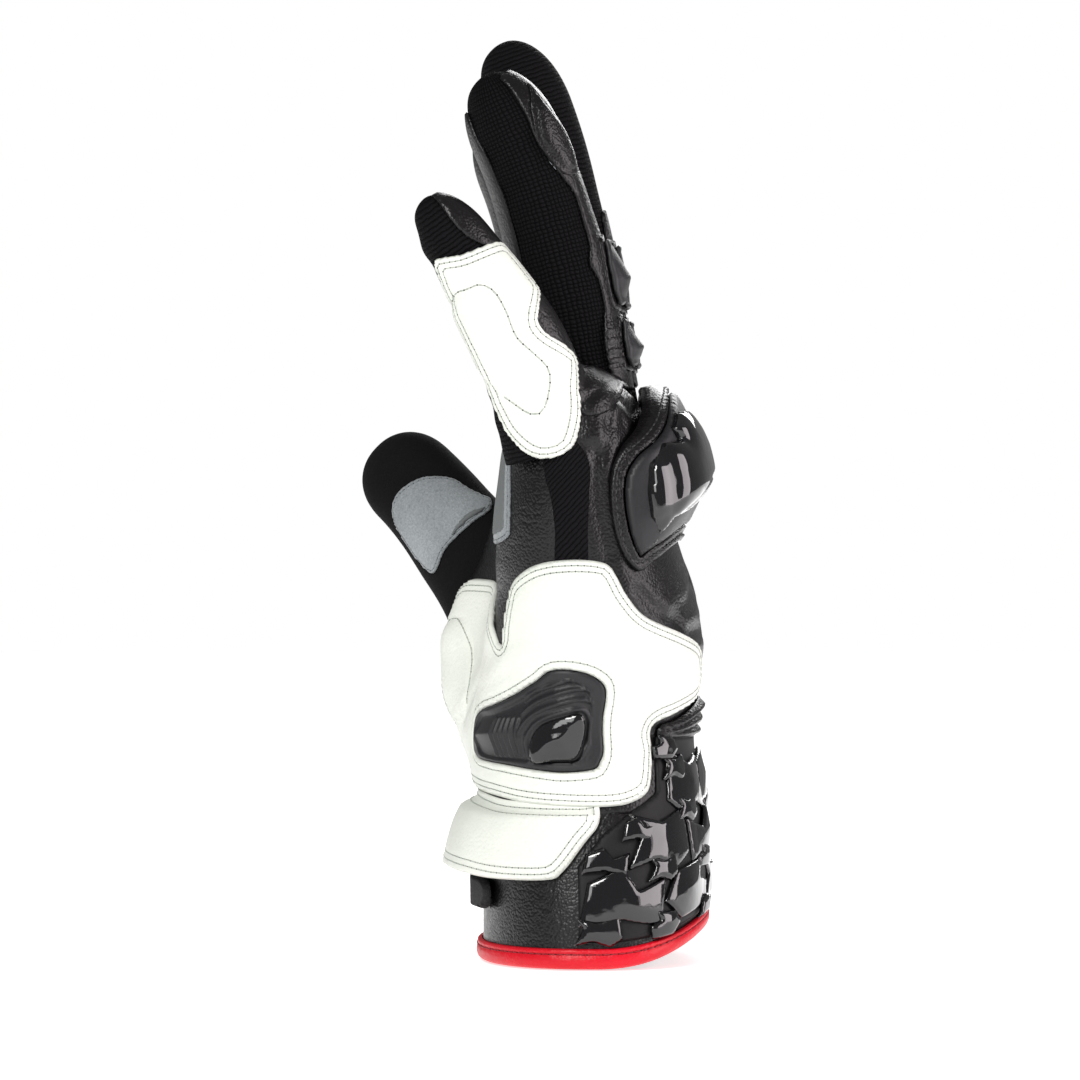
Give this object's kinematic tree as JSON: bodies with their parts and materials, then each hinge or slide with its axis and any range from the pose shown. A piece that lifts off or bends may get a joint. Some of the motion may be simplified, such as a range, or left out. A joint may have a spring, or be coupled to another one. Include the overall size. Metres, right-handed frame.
{
  "type": "motorcycle glove",
  "caption": "Left-hand motorcycle sport glove, worn form: short gauntlet cuff with wrist strap, palm slider, knuckle armour, finger guards, mesh fingers and leather patches.",
  "frame": {"origin": "centre of the cuff's mouth, where the hand goes in", "axes": "+Z from the mouth towards the fingertips, +X out of the back of the hand, -Y towards the little finger"},
  "size_m": [0.0938, 0.1199, 0.2394],
  "materials": {
    "black_mesh": "open woven mesh, matte",
    "black_leather": "fine grained, satin",
    "white_leather": "fine grained, satin",
    "suede": "napped, matte",
    "moulded_rubber": "moulded, matte",
    "gloss": "polished",
    "red_leather": "smooth, satin",
    "hook": "hooked pile, matte"
  },
  "bodies": {
    "root": {"hand_shell": "black_mesh", "cuff_wall": "black_leather", "cuff_binding": "red_leather", "little_finger": "black_mesh", "ring_finger": "black_mesh", "middle_finger": "black_mesh", "index_finger": "black_mesh", "thumb": "black_mesh", "little_finger_patch": "white_leather", "little_back": "black_leather", "ring_back": "black_leather", "ring_palm": "black_leather", "ring_guard_lower": "moulded_rubber", "ring_guard_upper": "moulded_rubber", "middle_back": "black_leather", "middle_palm": "black_leather", "middle_guard_lower": "moulded_rubber", "middle_guard_upper": "moulded_rubber", "index_back": "black_leather", "index_palm": "black_leather", "index_guard_lower": "moulded_rubber", "index_guard_upper": "moulded_rubber", "thumb_patch": "suede", "palm_strip": "suede", "palm_heel_patch": "white_leather", "palm_slider": "moulded_rubber", "knuckle_guard": "moulded_rubber", "knuckle_shell_outer": "gloss", "knuckle_shell_inner": "gloss", "wrist_pleats": "black_leather", "cuff_guard": "gloss", "cuff_shard_1": "gloss", "cuff_shard_2": "gloss", "cuff_shard_3": "gloss", "cuff_shard_4": "gloss", "cuff_shard_5": "gloss", "cuff_shard_6": "gloss", "cuff_shard_7": "gloss", "cuff_shard_8": "gloss", "cuff_shard_9": "gloss", "cuff_shard_10": "gloss", "cuff_shard_11": "gloss", "cuff_shard_12": "gloss", "wrist_strap": "white_leather", "strap_hook": "hook"}
  },
  "joints": []
}
